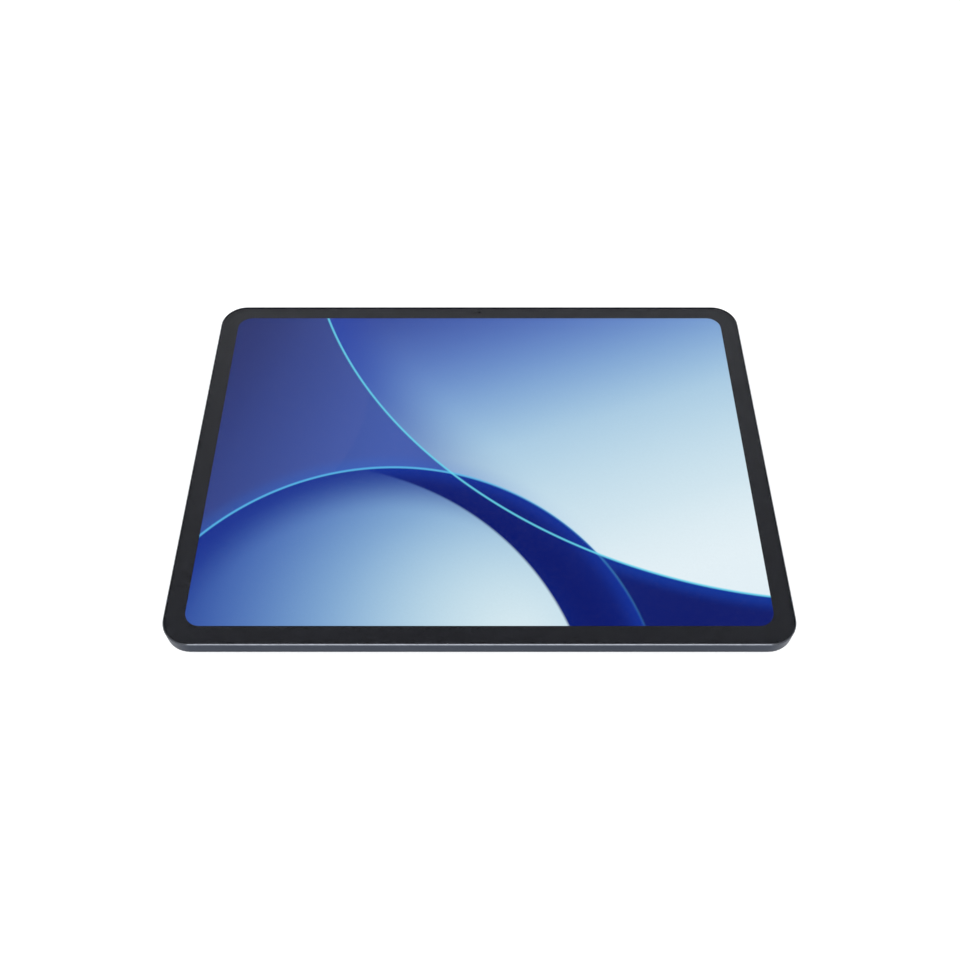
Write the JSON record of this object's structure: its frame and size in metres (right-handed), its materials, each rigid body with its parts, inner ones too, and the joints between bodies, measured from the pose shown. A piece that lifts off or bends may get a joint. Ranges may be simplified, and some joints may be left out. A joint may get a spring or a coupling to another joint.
{
  "type": "tablet computer",
  "caption": "Slim slab tablet computer with rounded corners, a glass display front, an aluminium back, side keys, speakers, a charging port and a rear camera.",
  "frame": {"origin": "centre of the rear housing's flat back face, which the tablet lies on", "axes": "+X along the long side, to the right of someone looking at the display with the front camera at the top; +Y to the edge with the front camera; +Z out of the display"},
  "size_m": [0.2668, 0.1936, 0.0085],
  "materials": {
    "housing_aluminium": "fine bead-blasted slate blue-grey anodising",
    "ring_aluminium": "turned and anodised slate blue-grey",
    "key_aluminium": "fine bead-blasted slate blue-grey anodising",
    "break_plastic": "smooth satin moulded strip",
    "cover_glass": "polished strengthened glass",
    "border_ink": "black printed ink seen through glass",
    "display_panel": "lit display surface with an abstract blue picture",
    "foam": "closed-cell foam",
    "white_sheet": "smooth white film",
    "flex_film": "amber polyimide film",
    "circuit_board": "dark solder mask",
    "steel_sheet": "stamped stainless sheet",
    "battery_foil": "black wrapped foil pouch",
    "chip_resin": "moulded epoxy package",
    "connector_plastic": "moulded cream plastic",
    "screw_steel": "blackened machine screws",
    "port_steel": "drawn stainless shell",
    "port_plastic": "black moulded tongue",
    "dust_mesh": "fine black woven mesh",
    "lens_glass": "coated optical glass",
    "module_black": "matte black moulding",
    "flash_plastic": "milky moulded window",
    "led_phosphor": "yellow phosphor",
    "magnet_nickel": "nickel-plated bar magnets",
    "speaker_plastic": "black glass-filled moulding"
  },
  "bodies": {
    "tablet": {"rear_housing": "housing_aluminium", "antenna_breaks": "break_plastic", "cover_glass": "cover_glass", "bezel_ink": "border_ink", "display_gasket": "foam", "lcd_cell": "display_panel", "backlight_unit": "white_sheet", "display_flex": "flex_film", "display_driver_board": "circuit_board", "display_ribbon": "flex_film", "midframe_plate": "steel_sheet", "battery_cell_left": "battery_foil", "battery_cell_right": "battery_foil", "battery_tapes": "white_sheet", "battery_protection_board": "circuit_board", "battery_flex": "flex_film", "main_board": "circuit_board", "processor_chip": "chip_resin", "memory_chips": "chip_resin", "storage_chip": "chip_resin", "power_chips": "chip_resin", "radio_chip": "chip_resin", "shield_can_processor": "steel_sheet", "shield_can_power": "steel_sheet", "shield_can_radio": "steel_sheet", "thermal_pad": "foam", "board_connectors": "connector_plastic", "internal_screws": "screw_steel", "usb_board": "circuit_board", "usb_port_shell": "port_steel", "usb_port_tongue": "port_plastic", "interconnect_flex": "flex_film", "speaker_meshes": "dust_mesh", "microphones": "steel_sheet", "rear_camera_ring": "ring_aluminium", "rear_camera_glass": "lens_glass", "camera_gasket": "foam", "rear_camera_module": "module_black", "flash_lens": "flash_plastic", "flash_led": "led_phosphor", "front_camera_module": "module_black", "front_camera_lens": "lens_glass", "ambient_light_sensor": "module_black", "power_key_bracket": "steel_sheet", "power_key_switch": "flex_film", "volume_key_bracket": "steel_sheet", "volume_key_switches": "flex_film", "card_socket": "steel_sheet", "cover_magnets": "magnet_nickel", "speaker_left_near": "speaker_plastic", "speaker_left_far": "speaker_plastic", "speaker_right_near": "speaker_plastic", "speaker_right_far": "speaker_plastic"},
    "power_key": {"power_button": "key_aluminium"},
    "volume_key": {"volume_rocker": "key_aluminium"},
    "tray": {"card_tray": "key_aluminium"},
    "push_rod": {"tray_push_rod": "steel_sheet"},
    "eject_lever": {"tray_eject_lever": "steel_sheet"},
    "focus_lens": {"camera_lens_barrel": "module_black", "camera_lens_element": "lens_glass"}
  },
  "joints": [
    {"name": "power_press", "type": "slide", "parent": "tablet", "child": "power_key", "axis": [1, 0, 0], "range_m": [0, 0.00025], "stiffness_N_per_m": 2000, "springref_m": -0.0001},
    {"name": "volume_rock", "type": "hinge", "parent": "tablet", "child": "volume_key", "pos_m": [-0.096, 0.0928, 0.00325], "axis": [0, 0, 1], "range_deg": [-1, 1], "stiffness_Nm_per_rad": 0.5},
    {"name": "tray_slide", "type": "slide", "parent": "tablet", "child": "tray", "axis": [0, 1, 0], "range_m": [0, 0.024]},
    {"name": "eject_push", "type": "slide", "parent": "tablet", "child": "push_rod", "axis": [0, -1, 0], "range_m": [0, 0.0012]},
    {"name": "eject_turn", "type": "hinge", "parent": "tablet", "child": "eject_lever", "pos_m": [0.0646, 0.071, 0.00325], "axis": [0, 0, -1], "range_deg": [0, 14]},
    {"name": "focus_slide", "type": "slide", "parent": "tablet", "child": "focus_lens", "axis": [0, 0, -1], "range_m": [0, 0.00025], "stiffness_N_per_m": 100, "springref_m": -0.0001}
  ],
  "couplings": [
    {"joint": "eject_turn", "follows": "eject_push", "rad_per_m": 200}
  ]
}
